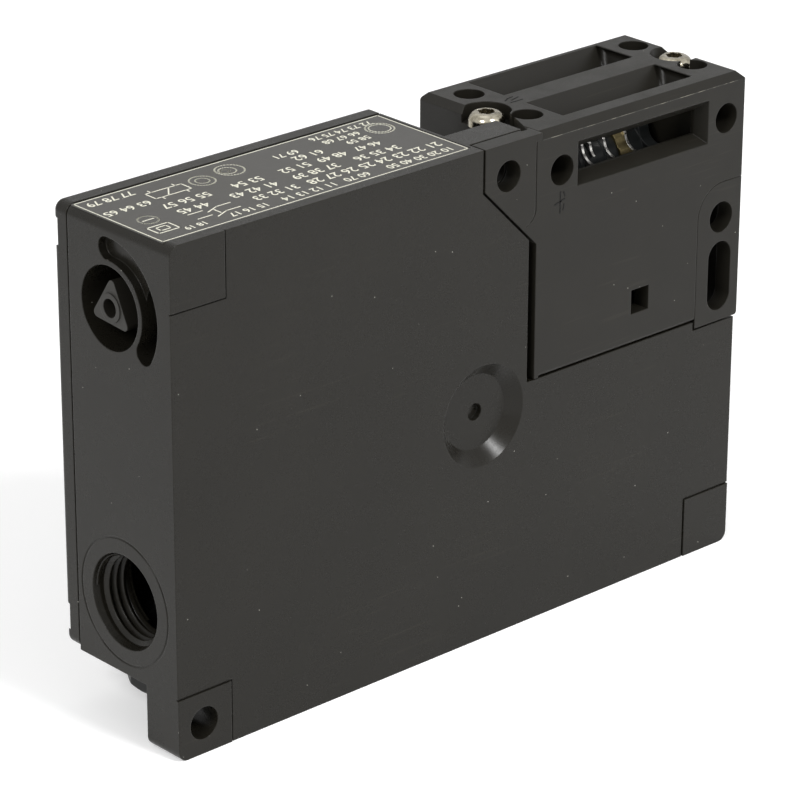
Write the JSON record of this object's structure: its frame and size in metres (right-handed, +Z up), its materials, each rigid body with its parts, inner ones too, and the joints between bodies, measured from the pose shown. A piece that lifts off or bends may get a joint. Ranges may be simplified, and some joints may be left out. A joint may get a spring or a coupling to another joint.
{
  "type": "tongue interlock switch",
  "caption": "Flat L-shaped solenoid guard-locking switch with a tongue head, two top slots, a face window, a key release and a threaded cable entry.",
  "frame": {"origin": "axis of the lower fixing hole, in the plane of the mounting face", "axes": "+X along the length from the cable end to the head, +Y away from the mounting face towards the lid, +Z up towards the tongue slots"},
  "size_m": [0.1309, 0.0296, 0.09],
  "materials": {
    "housing_plastic": "fine spark-eroded grain",
    "head_plastic": "fine spark-eroded grain",
    "plug_plastic": "moulded satin",
    "label_film": "printed semi-gloss film",
    "nickel_steel": "bright nickel plate",
    "seal_rubber": "plain",
    "dark_plastic": "moulded satin",
    "bright_steel": "stamped and turned steel",
    "brass": "drawn brass",
    "copper_wire": "enamelled copper wire",
    "pale_plastic": "natural moulded plastic",
    "spindle_plastic": "moulded satin"
  },
  "bodies": {
    "case": {"housing": "housing_plastic", "lid": "housing_plastic", "lid_gasket": "seal_rubber", "lid_screws": "nickel_steel", "rating_label": "label_film", "blanking_plug": "plug_plastic", "plug_seal": "seal_rubber", "head_cap": "head_plastic", "head_carrier": "head_plastic", "head_seal": "seal_rubber", "head_screws": "nickel_steel", "drum_axle": "bright_steel", "bolt_bush": "brass", "solenoid_yoke": "bright_steel", "coil_bobbin": "pale_plastic", "coil_winding": "copper_wire", "pole_piece": "bright_steel", "lock_contact_block": "pale_plastic", "door_contact_block": "pale_plastic", "lock_contacts": "brass", "door_contacts": "brass", "terminal_clamps": "nickel_steel", "terminal_screws": "nickel_steel", "plunger_spring": "bright_steel"},
    "drum": {"tongue_drum": "dark_plastic", "drum_discs": "bright_steel", "driver_plate": "brass"},
    "bolt_slide_body": {"locking_bolt": "bright_steel", "armature": "bright_steel", "bolt_arm": "dark_plastic", "bolt_spring": "bright_steel", "lock_bridges": "brass"},
    "plunger_body": {"door_plunger": "pale_plastic", "door_bridge": "brass"},
    "key_spindle": {"release_spindle": "spindle_plastic", "spindle_oring": "seal_rubber", "spindle_clip": "bright_steel"},
    "release_body": {"release_slide": "bright_steel"}
  },
  "joints": [
    {"name": "bolt_slide", "type": "slide", "parent": "case", "child": "bolt_slide_body", "axis": [1, 0, 0], "range_m": [0, 0.004]},
    {"name": "drum_turn", "type": "hinge", "parent": "case", "child": "drum", "pos_m": [0.0997, 0.0158, 0.0692], "axis": [1, 0, 0], "range_deg": [0, 55.2]},
    {"name": "plunger_slide", "type": "slide", "parent": "case", "child": "plunger_body", "axis": [0, 0, 1], "range_m": [-0.00302, 0], "deforming": ["plunger_spring"]},
    {"name": "release_slide_travel", "type": "slide", "parent": "case", "child": "release_body", "axis": [0, 0, 1], "range_m": [-0.003, 0]},
    {"name": "key_turn", "type": "hinge", "parent": "case", "child": "key_spindle", "pos_m": [0.0027, 0.0153, 0.0698], "axis": [1, 0, 0], "range_deg": [0, 120.3]}
  ],
  "couplings": [
    {"joint": "drum_turn", "follows": "bolt_slide", "rad_per_m": 239.98},
    {"joint": "plunger_slide", "follows": "bolt_slide", "ratio": -0.75},
    {"joint": "key_turn", "follows": "release_slide_travel", "rad_per_m": -698.13}
  ]
}
